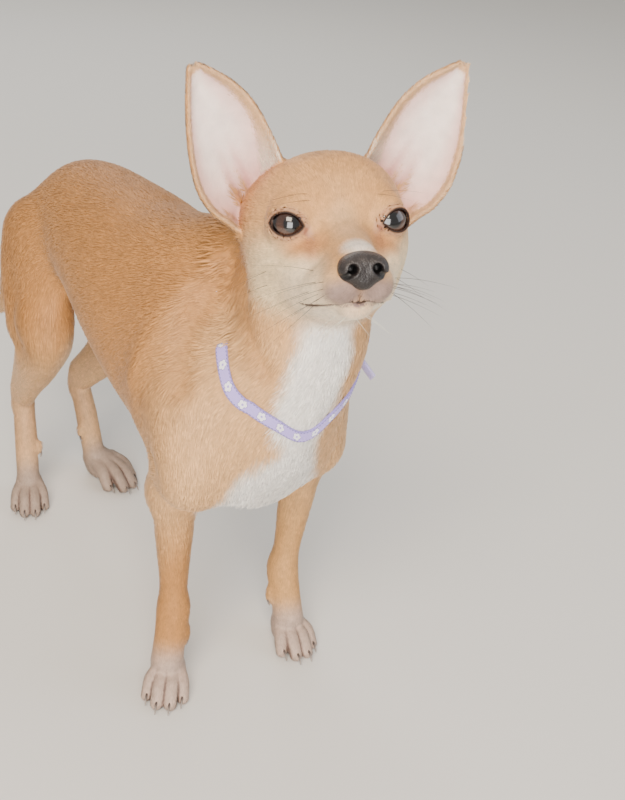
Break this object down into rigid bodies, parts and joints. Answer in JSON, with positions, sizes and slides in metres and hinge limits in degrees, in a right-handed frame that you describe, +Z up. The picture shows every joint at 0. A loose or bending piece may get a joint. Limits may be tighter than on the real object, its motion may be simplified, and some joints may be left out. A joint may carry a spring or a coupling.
{
  "type": "chihuahua dog model",
  "caption": "Life-size still model of a small smooth-coated fawn dog standing, head raised and turned, with a narrow collar.",
  "frame": {"origin": "on the floor, under the middle of the dog's overall box", "axes": "-Y is where the body faces, +X is the dog's left side, +Z is up"},
  "size_m": [0.1194, 0.3354, 0.3027],
  "materials": {
    "short_fawn_coat": "short smooth fawn hair lying flat, darker strands over the back",
    "cream_coat": "short cream hair lying flat",
    "white_coat": "very short whitish hair",
    "ear_skin": "thin pink skin inside, fine fawn hair outside",
    "eye": "wet dark brown eye under a clear cornea",
    "nose_leather": "fine pebbled dark grey nose skin, slightly wet",
    "claw_horn": "grey-brown horn, semi-matt",
    "collar_webbing": "lilac woven nylon webbing with stitched edges and small pale motifs",
    "collar_plastic": "pale lilac moulded plastic"
  },
  "bodies": {
    "root": {"claw_fore_left_inner": "claw_horn", "claw_fore_left_mid_inner": "claw_horn", "claw_fore_left_mid_outer": "claw_horn", "claw_fore_left_outer": "claw_horn", "claw_fore_right_inner": "claw_horn", "claw_fore_right_mid_inner": "claw_horn", "claw_fore_right_mid_outer": "claw_horn", "claw_fore_right_outer": "claw_horn", "claw_hind_left_inner": "claw_horn", "claw_hind_left_mid_inner": "claw_horn", "claw_hind_left_mid_outer": "claw_horn", "claw_hind_left_outer": "claw_horn", "claw_hind_right_inner": "claw_horn", "claw_hind_right_mid_inner": "claw_horn", "claw_hind_right_mid_outer": "claw_horn", "claw_hind_right_outer": "claw_horn", "collar": "collar_webbing", "collar_buckle": "collar_plastic", "collar_tab": "collar_webbing", "dewclaw_fore_left": "claw_horn", "dewclaw_fore_right": "claw_horn", "dewclaw_hind_left": "claw_horn", "dewclaw_hind_right": "claw_horn", "ear_left": "ear_skin", "ear_right": "ear_skin", "eye_left": "eye", "eye_right": "eye", "forearm_left": "cream_coat", "forearm_right": "cream_coat", "forepaw_left": "white_coat", "forepaw_right": "white_coat", "head": "short_fawn_coat", "hindpaw_left": "white_coat", "hindpaw_right": "white_coat", "hock_left": "cream_coat", "hock_right": "cream_coat", "neck": "cream_coat", "nose": "nose_leather", "tail": "short_fawn_coat", "thigh_left": "short_fawn_coat", "thigh_right": "short_fawn_coat", "trunk": "short_fawn_coat"}
  },
  "joints": []
}
